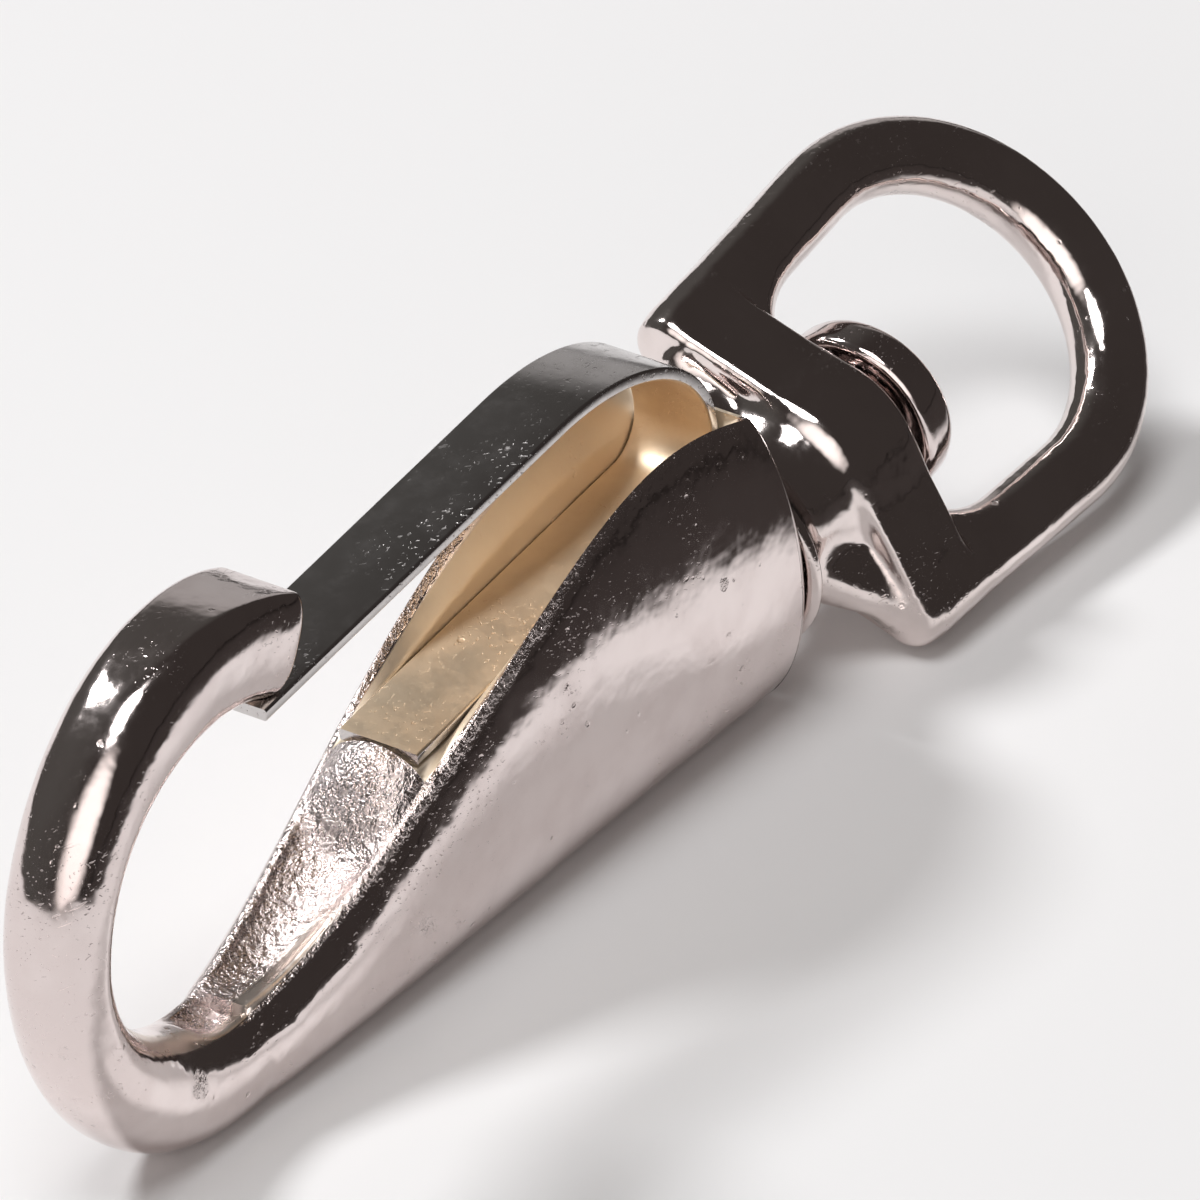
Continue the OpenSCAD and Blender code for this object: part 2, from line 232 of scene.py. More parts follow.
def hull_rings(x):
    """Upright sections of the hull at each x, on the swivel axis."""
    middle = mix(shank_z, 1.5, smooth(x, bow_x, 0.2 * bow_x))
    wide = mix(bow_bar_w + 0.3, hull_w, np.maximum(0, 1 - x / bow_x) ** 0.75) / 2
    land = wide * (1 - RIM ** flank(x)) ** (1 / flank(x)) - strip_w / 2 - side_gap
    s = sections(wide, (rim(x) - middle) / RIM, middle + keel_depth + keel_slope * x,
                 flank(x), mix(2, 2.2, smooth(x, bow_x, 0.53 * bow_x)),
                 smooth(x, bow_x - 3, bow_x + 4), trough(x) - middle,
                 np.where(x < step_x, groove_power, trough_power),
                 np.where(x < step_x, groove_land, land), 0.1)
    along = np.broadcast_to(x[:, None], s.shape[:2])
    return np.stack([along, s[..., 0], middle[:, None] + s[..., 1]], -1)


def bow_rings(centre_x, centre_z, travel, t, w, power, amount, grow=1.0, face=1.0):
    """Sections square to the bar's travel, which is pi at the shank and 0 at the
    crown.  The outside is pressed flat at the given share of half the bar."""
    s = sections(w / 2, t / 2, t / 2, power, power, amount, RIM * t / 2 - 0.5, groove_power,
                 groove_land, 0.08)
    level = np.broadcast_to(-face * t / 2, travel.shape)[:, None]
    s[..., 1] = level + np.logaddexp(0, (s[..., 1] - level) / 0.06) * 0.06
    s = s * np.broadcast_to(grow, travel.shape)[:, None, None]
    return np.stack([centre_x[:, None] + s[..., 1] * np.sin(travel)[:, None], s[..., 0],
                     centre_z[:, None] - s[..., 1] * np.cos(travel)[:, None]], -1)


def on_arc(x, z, r, travel):
    """Points on an arc about x, z, in terms of the direction of travel."""
    return x - r * np.sin(travel), z + r * np.cos(travel)


hull_x = np.unique(np.concatenate([
    -end_wall_t - hollow_r * (1 - np.cos(np.linspace(0, math.pi / 2, 22))),
    -np.linspace(end_chamfer + 0.1, end_wall_t, 4),
    np.linspace(step_x + 0.03, floor_bend_x, 105), np.linspace(bow_x, step_x - 0.03, 70)]))[::-1]
# The chamfer round the end face, with both of its edges a little rounded.
chamfer = rounded([[0, end_chamfer + 0.5], [0, end_chamfer], [-end_chamfer, 0],
                   [-end_chamfer - 0.3, 0]], 0.14, 4)[1:-1]
end_rings = hull_rings(chamfer[:, 0]) * [1, 0, 0] \
    + hull_rings(np.full(len(chamfer), -end_chamfer)) * [0, 1, 1] \
    * (1 - chamfer[:, 1] / keel_depth)[:, None, None]
f = np.linspace(0, 1, 66)[1:]
travel = math.pi * (1 - f / 2)
low_quarter = bow_rings(*on_arc(bow_x, bow_mid_z, bow_low_r, travel), travel,
                        mix(shank_t, bow_bar_t, smooth(f, 0, 1)),
                        mix(bow_bar_w + 0.3, bow_bar_w, f), 2 + 0 * f, 1 - smooth(f, 0.1, 0.3))
f = np.linspace(0, 1, 60)[1:]
travel = math.pi / 2 * (1 - f)
high_quarter = bow_rings(*on_arc(crown_x, bow_mid_z, bow_high_r, travel), travel,
                         mix(bow_bar_t, nose_t, smooth(f, 0.3, 1)), mix(bow_bar_w, nose_w, f),
                         mix(2, 2.6, f), 0 * f, 1.0, mix(1, 0.9, smooth(f, 0.7, 1)))
f = np.linspace(0, 1, 24)[1:]
travel = -nose_drop * f
nose = bow_rings(*on_arc(crown_x, crown_z - nose_drop_r, nose_drop_r, travel), travel,
                 nose_t + 0 * f, nose_w + 0 * f, mix(2.6, 3, f), 0 * f, 1.0,
                 mix(0.9, 0.8, f))
a = np.linspace(0, math.pi / 2 * 0.985, 16)[1:]
nose_end = bow_rings(nose_x + nose_round * np.sin(a) * math.cos(nose_drop),
                     nose_z - nose_round * np.sin(a) * math.sin(nose_drop),
                     -nose_drop + 0 * a, nose_t + 0 * a, nose_w + 0 * a, 3 + 0 * a, 0 * a,
                     np.cos(a) ** 0.45, 0.8)
rings = np.concatenate([end_rings, hull_rings(hull_x), low_quarter, high_quarter, nose, nose_end])
# The keel's flat, worn along the ground.
ground = keel_depth * math.cos(keel_angle) - keel_flat
rings[..., 2] = np.maximum(rings[..., 2],
                           -(ground + rings[..., 0] * math.sin(keel_angle)) / math.cos(keel_angle))
count, size = rings.shape[:2]
# How rough each point was left, from 0 to 1: the lands beside the trough and
# the groove show the casting's own skin, which smooths out towards the bow.
station_x = rings[:, :, 0].mean(1)
on_land = np.zeros(size)
on_land[OUT_POINTS - 4:OUT_POINTS + 4] = 0.2, 0.4, 0.7, 0.9, 1.0, 1.0, 0.8, 0.4
on_land[:4] = on_land[OUT_POINTS - 4:OUT_POINTS][::-1]
on_land[-4:] = on_land[OUT_POINTS:OUT_POINTS + 4][::-1]
in_groove = np.where(np.arange(size) >= OUT_POINTS, 1.0, on_land)
worn_land = on_land * mix(1, 0.55, smooth(station_x, -20, -11))[:, None]
cast = np.where(station_x[:, None] < step_x, in_groove, worn_land)
# One side of the groove was rubbed smooth by what the hook has carried.
lane = smooth(-np.arange(size), -OUT_POINTS - 30, -OUT_POINTS - 20)
lane = lane * (np.arange(size) >= OUT_POINTS)
lane = lane * smooth(-station_x, -step_x + 4, -step_x + 9)[:, None]
cast = cast * (1 - 0.85 * lane)
cast = cast * smooth(station_x, bow_x - 6, bow_x + 2)[:, None]
cast = cast * smooth(-station_x, 1.0, 1.6)[:, None]
cast[len(end_rings) + len(hull_x) + len(low_quarter) // 2:] = 0
verts = np.concatenate([rings.reshape(-1, 3), rings[[0, -1]].mean(1)])
faces = ring_faces(count, size)
faces += [[count * size, j, (j + 1) % size] for j in range(size)]
last = (count - 1) * size
faces += [[count * size + 1, last + (j + 1) % size, last + j] for j in range(size)]
hook = new_object("hook_casting", placed(verts), faces)
# The trough's walls get a painted reflection, the tan of the spring that lies in it, and the
# groove's worn lane a lighter share of the same tan as wear.
in_trough = (np.arange(size) > OUT_POINTS + 3) & (np.arange(size) < size - 4)
reflection_and_wear = np.maximum((station_x[:, None] > step_x) & in_trough, 0.4 * lane)
for mark, value in (("cast", cast), ("reflection_and_wear", reflection_and_wear)):
    hook.data.attributes.new(mark, "FLOAT", "POINT").data.foreach_set(
        "value", np.append(value, [0, 0]).astype(np.float32))

# The seat that the gate's tip closes against is filed flat under the nose.
cut = np.array([[x, y, z] for x in (tip_x - 0.4, nose_x + 4) for y in (-nose_w, nose_w)
                for z in (seat_z - 3, seat_z)])
cutter = new_object("seat_cut", placed(cut), [[0, 1, 3, 2], [4, 6, 7, 5], [0, 4, 5, 1],
                                              [2, 3, 7, 6], [0, 2, 6, 4], [1, 5, 7, 3]])
seat = hook.modifiers.new("seat", "BOOLEAN")
seat.operation, seat.solver, seat.object = "DIFFERENCE", "EXACT", cutter
baked = bpy.data.meshes.new_from_object(hook.evaluated_get(bpy.context.evaluated_depsgraph_get()))
hook.modifiers.clear()
hook.data = baked
bpy.data.objects.remove(cutter)


def turned(profile, segments=112):
    """A closed lathe shape: the outline of x and radius spun about the hook's X axis."""
    angle = np.linspace(0, 2 * math.pi, segments, endpoint=False)
    x, r = profile[:, :1], profile[:, 1:]
    along = np.broadcast_to(x, (len(profile), segments))
    return np.stack([along, r * np.cos(angle), r * np.sin(angle)], -1)


# The stud and its head, upset with a shallow dish after the eye was put on.
head_end, stud_root = head_x + head_t, -2
head_line = rounded([[stud_root, stud_r], [head_x, stud_r], [head_x, head_r],
                     [head_end, head_r - 0.1], [head_end, 1.8],
                     [head_end - head_dish, 0.8], [head_end - head_dish, 0.1]],
                    [0, 0.15, 0.6, 0.9, 0.8, 0.5, 0], 8)
stud_rings = turned(head_line[::-1])
count, size = stud_rings.shape[:2]
stud = new_object("stud", placed(stud_rings.reshape(-1, 3)), capped_faces(count, size))
bpy.ops.object.select_all(action="DESELECT")
bpy.context.view_layer.objects.active = hook
hook.select_set(True)
stud.select_set(True)
bpy.ops.object.join()
hook.data.set_sharp_from_angle(angle=math.radians(32))


def plating(name, colour, tint, gloss, wave=1.0, scratch=1.0, grain=False, scuffs=()):
    """Bright plate over a casting.  Slow noise bends the reflections and shades
    the colour, long thin noise draws scratches, cells dot it with pits, and the
    casting's own rough skin shows where the mesh is marked and at each scuff,
    given by its place and size in millimetres.  Noise scales are per metre."""
    material = bpy.data.materials.new(name)
    material.use_nodes = True
    tree = material.node_tree
    shader = tree.nodes["Principled BSDF"]
    shader.inputs["Metallic"].default_value = 1.0
    link = tree.links.new
    place = tree.nodes.new("ShaderNodeTexCoord").outputs["Object"]

    def noise(scale, detail=2.0, rough=0.5, at=place):
        n = tree.nodes.new("ShaderNodeTexNoise")
        n.inputs["Scale"].default_value = scale
        n.inputs["Detail"].default_value = detail
        n.inputs["Roughness"].default_value = rough
        link(at, n.inputs["Vector"])
        return n.outputs["Fac"]

    def span(value, low, high, to_low=0.0, to_high=1.0):
        m = tree.nodes.new("ShaderNodeMapRange")
        m.interpolation_type = "SMOOTHSTEP"
        for i, v in enumerate((low, high, to_low, to_high)):
            m.inputs[i + 1].default_value = v
        link(value, m.inputs[0])
        return m.outputs[0]

    def sums(kind, p, q):
        m = tree.nodes.new("ShaderNodeMath")
        m.operation = kind
        for socket, v in zip(m.inputs, (p, q)):
            if isinstance(v, (int, float)):
                socket.default_value = v
            else:
                link(v, socket)
        return m.outputs[0]

    scratch_l, scratch_w = 0.008, 0.00016

    def scratches(turn, low, high):
        m = tree.nodes.new("ShaderNodeMapping")
        m.vector_type = "TEXTURE"
        m.inputs["Rotation"].default_value = turn
        m.inputs["Scale"].default_value = (scratch_l, scratch_w, scratch_w)
        link(place, m.inputs["Vector"])
        return span(noise(1.0, 1.0, 0.5, m.outputs[0]), low, high)

    slow, patch = noise(140, 3.0), noise(560, 4.0, 0.62)
    lines = sums("MAXIMUM", scratches((0.2, 0.5, 0.35), 0.66, 0.74),
                 scratches((1.1, -0.4, -0.9), 0.67, 0.75))
    lines = sums("MULTIPLY", lines, span(slow, 0.42, 0.62))
    cells = tree.nodes.new("ShaderNodeTexVoronoi")
    cells.inputs["Scale"].default_value = 1300
    link(place, cells.inputs["Vector"])
    dots = sums("MULTIPLY", span(cells.outputs["Distance"], 0.10, 0.26, 1, 0),
                span(patch, 0.56, 0.68))
    skin = None
    if grain:
        mark = tree.nodes.new("ShaderNodeAttribute")
        mark.attribute_name = "cast"
        ragged = sums("ADD", mark.outputs["Fac"], sums("MULTIPLY", noise(900, 3.0), 0.5))
        skin = span(ragged, 0.55, 0.95)
    for spot, size in scuffs:
        far = tree.nodes.new("ShaderNodeVectorMath")
        far.operation = "DISTANCE"
        link(place, far.inputs[0])
        far.inputs[1].default_value = placed(spot).tolist()
        ragged = sums("ADD", far.outputs["Value"],
                      sums("MULTIPLY", noise(1500, 3.0), size * MM))
        near = span(ragged, size * MM, size * MM * 1.5, 0.7, 0)
        skin = sums("MAXIMUM", skin, near) if skin else near

    shade = tree.nodes.new("ShaderNodeMix")
    shade.data_type = "RGBA"
    link(span(sums("ADD", slow, sums("MULTIPLY", patch, 0.5)), 0.55, 0.95), shade.inputs[0])
    shade.inputs[6].default_value = (*colour, 1)
    shade.inputs[7].default_value = (*tint, 1)
    plate_colour = shade.outputs[2]
    # Where the mesh is marked, the plate's colour turns tan: a painted reflection of the spring on
    # the trough's walls, and wear on the groove's worn lane. The same mark also makes it rougher.
    if grain:
        reflection_and_wear = tree.nodes.new("ShaderNodeAttribute")
        reflection_and_wear.attribute_name = "reflection_and_wear"
        reflection_and_wear_mix = tree.nodes.new("ShaderNodeMix")
        reflection_and_wear_mix.data_type = "RGBA"
        link(reflection_and_wear.outputs["Fac"], reflection_and_wear_mix.inputs[0])
        link(plate_colour, reflection_and_wear_mix.inputs[6])
        reflection_and_wear_mix.inputs[7].default_value = (0.96, 0.84, 0.68, 1)
        plate_colour = reflection_and_wear_mix.outputs[2]
    link(plate_colour, shader.inputs["Base Color"])
    rough = sums("ADD", span(patch, 0.35, 0.72, gloss, gloss + 0.10),
                 sums("ADD", sums("MULTIPLY", lines, 0.2 * scratch),
                      sums("MULTIPLY", dots, 0.2)))
    if skin:
        rough = sums("ADD", rough, sums("MULTIPLY", skin, 0.14))
    if grain:
        rough = sums("ADD", rough, sums("MULTIPLY", reflection_and_wear.outputs["Fac"], 0.48))
    link(rough, shader.inputs["Roughness"])

    # Heights in metres of the waves, ripples, scratches, pits and rough skin.
    bumps = [(noise(150, 1.0), 0.00024 * wave), (noise(650, 2.0), 0.00005 * wave),
             (lines, -0.000006 * scratch), (dots, -0.00004)]
    if skin:
        coarse, fine = noise(1900, 4.0, 0.6), noise(5200, 2.0)
        bumps += [(sums("MULTIPLY", sums("SUBTRACT", coarse, 0.5), skin), 0.00022),
                  (sums("MULTIPLY", sums("SUBTRACT", fine, 0.5), skin), 0.00007)]
    normal = None
    for value, depth in bumps:
        b = tree.nodes.new("ShaderNodeBump")
        b.inputs["Strength"].default_value = 1.0
        b.inputs["Distance"].default_value = abs(depth)
        b.invert = depth < 0
        link(value, b.inputs["Height"])
        if normal:
            link(normal, b.inputs["Normal"])
        normal = b.outputs[0]
    link(normal, shader.inputs["Normal"])
    return material


hook.data.materials.append(plating(
    "cast_nickel", (0.84, 0.75, 0.73), (0.76, 0.665, 0.645), 0.07, grain=True,
    scuffs=(((-27.8, -3.4, 0.0), 0.9), ((-43.1, -2.3, 1.3), 0.8), ((-50.5, -1.2, 8.0), 0.7),
            ((-6.0, -4.9, 4.2), 0.35))))
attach(hook, "hook")
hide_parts("hook_body")


# -------------------------------------------------------------- gate spring
# A strip of rolled spring steel bent like a hairpin.  One leg is sprung into
# the trough, the other is the gate, and its tip closes up under the nose.


def arc(x, z, r, start, stop, steps):
    """Points of an arc about x, z, round or oval, by angles in degrees."""
    turn = np.radians(np.linspace(start, stop, steps))
    return [x, z] + np.stack([np.cos(turn), np.sin(turn)], -1) * r


def straight(a, b, steps):
    """Points of a line without its last one."""
    return np.linspace(a, b, steps, endpoint=False)


line = np.concatenate([
    straight([tip_x, gate_z], [gate_bend_x, gate_z], 70),
    arc(gate_bend_x, bend_z, [gate_bend_l, gate_bend_r], 90, 0, 90)[:-1],
    arc(floor_bend_x, bend_z, floor_bend_r, 0, -90, 30)[:-1],
    straight([floor_bend_x, leg_z], [leg_end_x, leg_z], 50), [[leg_end_x, leg_z]]])
along = np.gradient(line, axis=0)
along /= np.linalg.norm(along, axis=1, keepdims=True)
outward = np.stack([-along[:, 1], along[:, 0]], -1)
corner = 0.13
half_w, half_t = strip_w / 2, strip_t / 2
edge = np.concatenate([
    np.stack([across * (half_w - corner) + corner * np.cos(t),
              up * (half_t - corner) + corner * np.sin(t)], -1)
    for across, up, quarter in ((1, 1, 0), (-1, 1, 1), (-1, -1, 2), (1, -1, 3))
    for t in [np.linspace(quarter, quarter + 1, 6) * math.pi / 2]])
# Each broad side gets one more point, in its middle.
edge = np.insert(edge, [6, 18], [[0.0, half_t], [0.0, -half_t]], 0)
rings = np.stack([line[:, None, 0] + edge[None, :, 1] * outward[:, None, 0],
                  np.broadcast_to(edge[None, :, 0], (len(line), len(edge))),
                  line[:, None, 1] + edge[None, :, 1] * outward[:, None, 1]], -1)
count, size = rings.shape[:2]
# The outline runs the other way round from the casting's, so its faces turn.
faces = [face[::-1] for face in capped_faces(count, size)]
strip = new_object("gate_strip", placed(rings.reshape(-1, 3)), faces, 40)
strip.data.materials.append(plating(
    "strip_nickel", (0.66, 0.63, 0.62), (0.60, 0.57, 0.56), 0.14, 0.35, 1.6))
# The inside of the bend keeps the warm, dull tint of its heat treatment.
strip.data.materials.append(plating(
    "strip_inside", (0.90, 0.74, 0.55), (0.80, 0.63, 0.45), 0.44, 0.6, 2.2))
inside = (np.arange(size) > 13) & (np.arange(size) < 25)
strip.data.polygons.foreach_set(
    "material_index", np.append(np.tile(inside, count - 1), [0, 0]).astype(np.int32))
# The bend begins and stops this far off the middle of each leg, at the two points worked out here.
still = 0.7
start, end = placed([[floor_bend_x, 0, leg_z + still], [floor_bend_x, 0, gate_z - still]])
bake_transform(strip)
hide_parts("gate_spring")


# -------------------------------------------------------------- swivel eye
# A D-shaped eye cast in one with its straight bar and waisted collar, which
# turns on the stud.  Its corners run into each other in soft fillets.
swivel_clearance = 0.08
ring_w, ring_t, inner_edge, outer_edge = 3.4, 3.0, 1.48, 1.1
ring_r, ring_centre, leg_lean = 8.4, 18.6, math.radians(3)
collar_r, waist_r, barrel_r, eye_angle = 5.2, 3.6, 4.5, math.radians(42)
flange_w, turned_edge, bar_edge, bar_trim = 0.5, 0.45, 0.5, 0.15
web_r, web_tip_r, web_flatness = 3.5, 1.25, 1.45
waist_x, barrel_end = end_play + collar_l * 0.55, bar_x1 - 0.4
# The leg's centre line runs from the ring's tangent point to the knuckle.
lean_x, lean_y = math.cos(leg_lean), math.sin(leg_lean)
tangent = np.array([ring_centre - ring_r * lean_y, ring_r * lean_x])
reach = (tangent[0] - bar_x0 - ring_w / 2) / lean_x
knuckle = tangent - reach * np.array([lean_x, lean_y])
bar_mid, bar_half_l = (bar_x0 + bar_x1) / 2 - 0.1, knuckle[1] + 0.1
cell = 0.14


def merged(a, b, k):
    """Smooth minimum of two distances: a fillet of about k where they meet."""
    h = np.maximum(k - np.abs(a - b), 0) / k
    return np.minimum(a, b) - h * h * k / 4


def corner_box(a, b, edge):
    """Distance to a rectangle with rounded corners, from the distances a and b
    beyond the centres of its corners along its two sides."""
    return np.hypot(np.maximum(a, 0), np.maximum(b, 0)) + np.minimum(np.maximum(a, b), 0) - edge


def tapered(x, y, z, length, r0, r1, half, edge):
    """Distance to a flat-sided bar: a round cone from r0 to r1 in y and z, over a
    half width in x, with rounded edges."""
    slope = (r0 - r1) / math.sqrt(length ** 2 - (r0 - r1) ** 2)
    t = np.clip((y - slope * np.abs(z)) / length, 0, 1)
    return corner_box(np.hypot(y - t * length, z) - mix(r0, r1, t) + edge,
                      np.abs(x) - half + edge, edge)


def to_segment(x, y, a, b):
    """Share of the way from a to b that is nearest to each point."""
    return np.clip(((x - a[0]) * (b[0] - a[0]) + (y - a[1]) * (b[1] - a[1]))
                   / ((b - a) @ (b - a)), 0, 1)


def eye_distance(p):
    """Distance outside the eye's skin, less than 0 inside: the D bar as a rounded
    box carried along an arc and two legs, the cross bar, two webs, and a turned
    collar and barrel, all filleted, less the bore."""
    x, y, z = p[..., 0], np.abs(p[..., 1]), p[..., 2]
    r = np.hypot(y, z)
    t = to_segment(x, y, tangent, knuckle)
    to_leg = np.hypot(x - mix(tangent[0], knuckle[0], t), y - mix(tangent[1], knuckle[1], t))
    past = (x - tangent[0]) * lean_x + (y - tangent[1]) * lean_y > 0
    side = np.where(past, np.hypot(x - ring_centre, y) - ring_r,
                    (y - tangent[1]) * lean_x - (x - tangent[0]) * lean_y)
    # The ring is rounder on its inside, and its legs run into the bar in a fillet.
    edge = mix(outer_edge, inner_edge, np.where(side < 0, smooth(x, bar_x1, bar_x1 + 5), 0))
    plate = np.maximum(np.abs(x - bar_mid) - (cross_w / 2 - bar_trim - edge),
                       3.4 * (y - knuckle[1] + ring_w / 2 - edge))
    a = merged(np.where(past, np.abs(side), to_leg) - (ring_w / 2 - edge), plate,
               np.where(x > bar_mid, 4.0, 1.0))
    ring = corner_box(a, np.abs(z) - (ring_t / 2 - edge), edge)
    # The straight bar tapers from the barrel to the knuckle and has flat sides.
    bar = tapered(x - bar_mid, y, z, bar_half_l, barrel_r, ring_t / 2 + 0.02,
                  cross_w / 2 - bar_trim, bar_edge)
    # A rounded web fills the corner between the collar and the knuckle.
    foot, tip = np.array([waist_x + 0.2, 0]), np.array([bar_x0 + 1.35, knuckle[1] - 0.25])
    t = to_segment(x, y, foot, tip)
    web = np.sqrt((x - mix(foot[0], tip[0], t)) ** 2 + (y - t * tip[1]) ** 2
                  + (web_flatness * z) ** 2) - mix(web_r, web_tip_r, t)
    # The collar narrows to its waist and swells again into the barrel.
    narrow = np.clip((x - end_play - flange_w) / (waist_x - end_play - flange_w), 0, 1)
    wide = np.clip((x - waist_x) / (bar_x0 + 0.4 - waist_x), 0, 1)
    swell = np.where(x < waist_x, mix(collar_r, waist_r, np.sin(narrow * math.pi / 2)),
                     mix(waist_r, barrel_r, 1 - np.cos(wide * math.pi / 2)))
    barrel = corner_box(r - (swell - turned_edge),
                        np.maximum(x - (barrel_end - turned_edge), end_play + turned_edge - x),
                        turned_edge)
    solid = merged(merged(merged(ring, bar, 0.5), web, 1.0), barrel, 0.7)
    solid = np.maximum(solid, end_play - x)
    # The bore ends short of the ring, and its mouths are eased.
    bore = np.minimum(stud_r + swivel_clearance - r, bar_x1 + 2 - x)
    return -merged(-solid, -bore, 0.3)


def skin_of(distance, low, high, step):
    """Surface net: every grid cell that the skin crosses gets one point, and every
    crossed grid edge joins four.  The points are moved along the slope on to the
    skin, then eased towards their neighbours' middle and moved on to it again."""
    axes = [np.arange(a, b + step, step) for a, b in zip(low, high)]
    value = np.concatenate([
        distance(np.stack(np.meshgrid(part, axes[1], axes[2], indexing="ij"), -1))
        for part in np.array_split(axes[0], 12)])
    inside = value < 0
    nx, ny, nz = np.array(inside.shape) - 1
    corners = sum(inside[i:nx + i, j:ny + j, k:nz + k].astype(np.int8)
                  for i in (0, 1) for j in (0, 1) for k in (0, 1))
    cells = (corners > 0) & (corners < 8)
    number = np.full(cells.shape, -1)
    number[cells] = np.arange(cells.sum())
    points = np.argwhere(cells) * step + np.array(low) + step / 2
    quads = []
    for axis in range(3):
        u, v = (axis + 1) % 3, (axis + 2) % 3
        a = np.take(inside, np.arange(inside.shape[axis] - 1), axis)
        b = np.take(inside, np.arange(1, inside.shape[axis]), axis)
        at = np.argwhere(a != b)
        at = at[(at[:, u] > 0) & (at[:, v] > 0)
                & (at[:, u] < cells.shape[u]) & (at[:, v] < cells.shape[v])]
        back = np.eye(3, dtype=int)
        ring = [at - back[u] - back[v], at - back[v], at, at - back[u]]
        quad = np.stack([number[tuple(c.T)] for c in ring], -1)
        flip = ~a[tuple(at.T)]
        quad[flip] = quad[flip, ::-1]
        quads.append(quad)
    quads = np.concatenate(quads)
    ends = np.concatenate([quads[:, [i, (i + 1) % 4]] for i in range(4)])
    joined = np.bincount(ends[:, 0], minlength=len(points))
    h = step * 0.1
    for ease in (0, 0, 0, 0.7, 0.7, 0.7, 0.7, 0):
        near = np.stack([np.bincount(ends[:, 0], points[ends[:, 1], i], len(points))
                         for i in range(3)], -1)
        points = mix(points, near / joined[:, None], ease)
        slope = np.stack([distance(points + np.eye(3)[i] * h)
                          - distance(points - np.eye(3)[i] * h) for i in range(3)], -1) / (2 * h)
        move = np.clip(distance(points) / np.maximum((slope ** 2).sum(-1), 0.25), -step, step)
        points = points - slope * move[:, None]
    return points, quads


points, quads = skin_of(eye_distance, [0, -11.2, -6.2], [30, 11.2, 6.2], cell)
lean = np.array([[1, 0, 0], [0, math.cos(eye_angle), math.sin(eye_angle)],
                 [0, -math.sin(eye_angle), math.cos(eye_angle)]])
eye = new_object("swivel_eye_casting", placed(points @ lean), quads.tolist(), 50)
eye.data.materials.append(plating(
    "eye_nickel", (0.86, 0.775, 0.75), (0.77, 0.685, 0.66), 0.07, 1.4, 0.8,
    scuffs=(((11.5, -6.5, -6.8), 0.5), ((15.5, -7.6, -7.2), 0.6), ((22.0, 4.9, 3.4), 1.3),
            ((17.4, 5.5, 3.9), 1.1), ((25.0, 2.2, 1.0), 0.9))))
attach(eye, "eye")
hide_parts("swivel_eye")


# ------------------------------------------------------------------- camera
# A long lens looks down along the hook from the bow's end and its near side.
view_back = hook_axes.T @ np.array([-0.6390, -0.4789, 0.6020])
view_up = hook_axes.T @ np.array([0.5360, 0.2839, 0.7949])
view_back /= np.linalg.norm(view_back)
view_right = np.cross(view_up, view_back)
view_right /= np.linalg.norm(view_right)
view_up = np.cross(view_back, view_right)
frame_width, distance = 0.05206, 1.1
aim = hook_origin - 0.00495 * view_right - 0.00197 * view_up + 0.0077 * view_back
lens = bpy.data.cameras.new("camera")
lens.sensor_width = 36
lens.lens = 36 * distance / frame_width
lens.clip_start, lens.clip_end = 0.05, 20
camera = bpy.data.objects.new("camera", lens)
camera.matrix_world = Matrix.Translation(Vector(aim + view_back * distance)) @ Matrix(
    np.stack([view_right, view_up, view_back], 1).tolist()).to_4x4()
bpy.context.scene.collection.objects.link(camera)
bpy.context.scene.camera = camera

# -------------------------------------------------------------------- studio
# A white table under two soft lamps.  A camera sees table and room pale all
# round.  The metal sees a dim room with two bright patches, and a table that
# turns dark a few centimetres off, towards X and against Y.
bpy.ops.mesh.primitive_plane_add(size=6, location=(0, 0, 0))
floor = bpy.context.object
floor.name = "floor"
table = bpy.data.materials.new("table")
table.use_nodes = True


def along_way(tree, vector, towards, start, full):
    """How far a vector reaches along a direction: 0 up to start, eased to 1 at full."""
    reach = tree.nodes.new("ShaderNodeVectorMath")
    reach.operation = "DOT_PRODUCT"
    reach.inputs[1].default_value = towards
    tree.links.new(vector, reach.inputs[0])
    fade = tree.nodes.new("ShaderNodeMapRange")
    fade.interpolation_type = "SMOOTHSTEP"
    fade.inputs["From Min"].default_value = start
    fade.inputs["From Max"].default_value = full
    tree.links.new(reach.outputs["Value"], fade.inputs[0])
    return fade.outputs[0]


def blended(tree, amount, first, second):
    """A colour that goes from the first, a colour or a socket, to the second."""
    blend = tree.nodes.new("ShaderNodeMix")
    blend.data_type = "RGBA"
    tree.links.new(amount, blend.inputs[0])
    if isinstance(first, tuple):
        blend.inputs[6].default_value = (*first, 1)
    else:
        tree.links.new(first, blend.inputs[6])
    blend.inputs[7].default_value = (*second, 1)
    return blend.outputs[2]


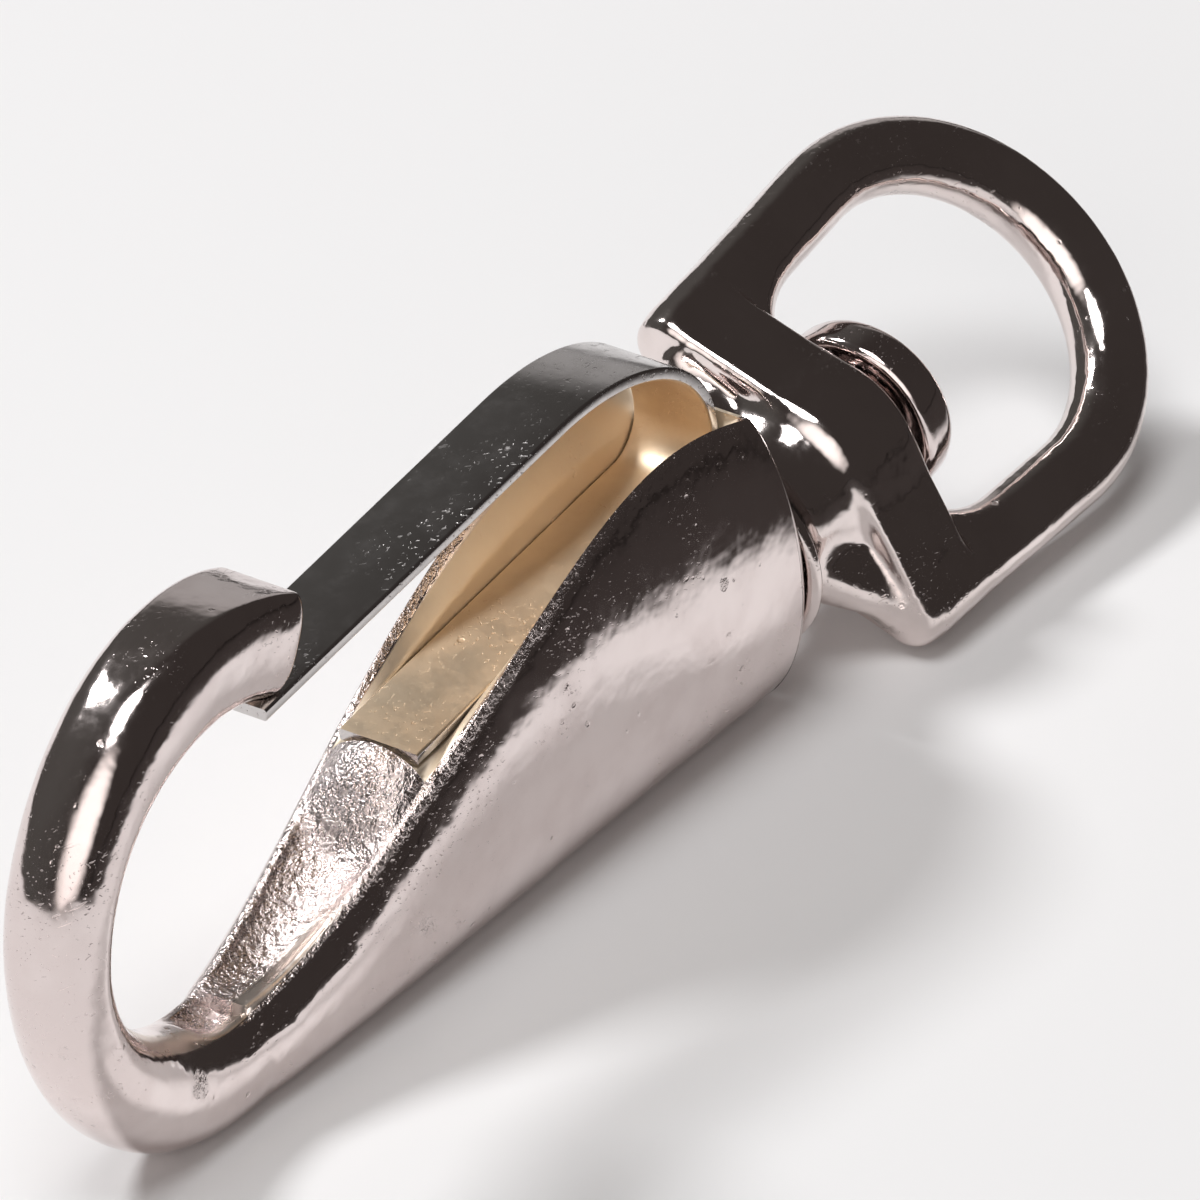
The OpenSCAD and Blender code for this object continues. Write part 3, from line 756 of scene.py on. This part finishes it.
tree = table.node_tree
place = tree.nodes.new("ShaderNodeTexCoord").outputs["Object"]
unseen = tree.nodes.new("ShaderNodeMath")
unseen.operation = "SUBTRACT"
unseen.use_clamp = True
tree.links.new(along_way(tree, place, (0.556, -0.831, 0), 0.0275, 0.040), unseen.inputs[0])
tree.links.new(tree.nodes.new("ShaderNodeLightPath").outputs["Is Camera Ray"], unseen.inputs[1])
top = tree.nodes["Principled BSDF"]
tree.links.new(blended(tree, unseen.outputs[0], (0.87, 0.865, 0.865), (0.045, 0.038, 0.036)),
               top.inputs["Base Color"])
top.inputs["Roughness"].default_value = 0.8
top.inputs["Specular IOR Level"].default_value = 0.1
floor.data.materials.append(table)


def spot(name, where, radius, power, cone, colour):
    """A round soft lamp that faces the hook and fades towards its cone's edge."""
    light = bpy.data.lights.new(name, "SPOT")
    light.shadow_soft_size, light.energy, light.color = radius, power, colour
    light.spot_size, light.spot_blend = math.radians(cone), 1.0
    obj = bpy.data.objects.new(name, light)
    where = Vector(where)
    turn = (-where).to_track_quat("-Z", "Y").to_matrix().to_4x4()
    obj.matrix_world = Matrix.Translation(where) @ turn
    bpy.context.scene.collection.objects.link(obj)


spot("key", (-0.05, 0.75, 0.95), 0.16, 35, 60, (0.985, 0.99, 1.0))
spot("top", (-0.32, -0.08, 1.1), 0.3, 24, 60, (0.985, 0.985, 0.99))

world = bpy.data.worlds.new("room")
bpy.context.scene.world = world
world.use_nodes = True
tree = world.node_tree
way = tree.nodes.new("ShaderNodeTexCoord").outputs["Generated"]
room = (0.040, 0.034, 0.032)
for towards, start, full, colour in (
        ((0, 1, 0), 0.1, 0.6, (0.080, 0.077, 0.073)),
        ((0.865, 0.483, 0.13), 0.93, 0.99, (0.40, 0.39, 0.385)),
        ((-0.85, -0.34, 0.40), 0.81, 0.97, (1.5, 1.42, 1.38))):
    room = blended(tree, along_way(tree, way, towards, start, full), room, colour)
seen = tree.nodes.new("ShaderNodeLightPath").outputs["Is Camera Ray"]
tree.links.new(blended(tree, seen, room, (0.86, 0.86, 0.86)),
               tree.nodes["Background"].inputs["Color"])

bpy.context.scene.view_settings.view_transform = "Standard"
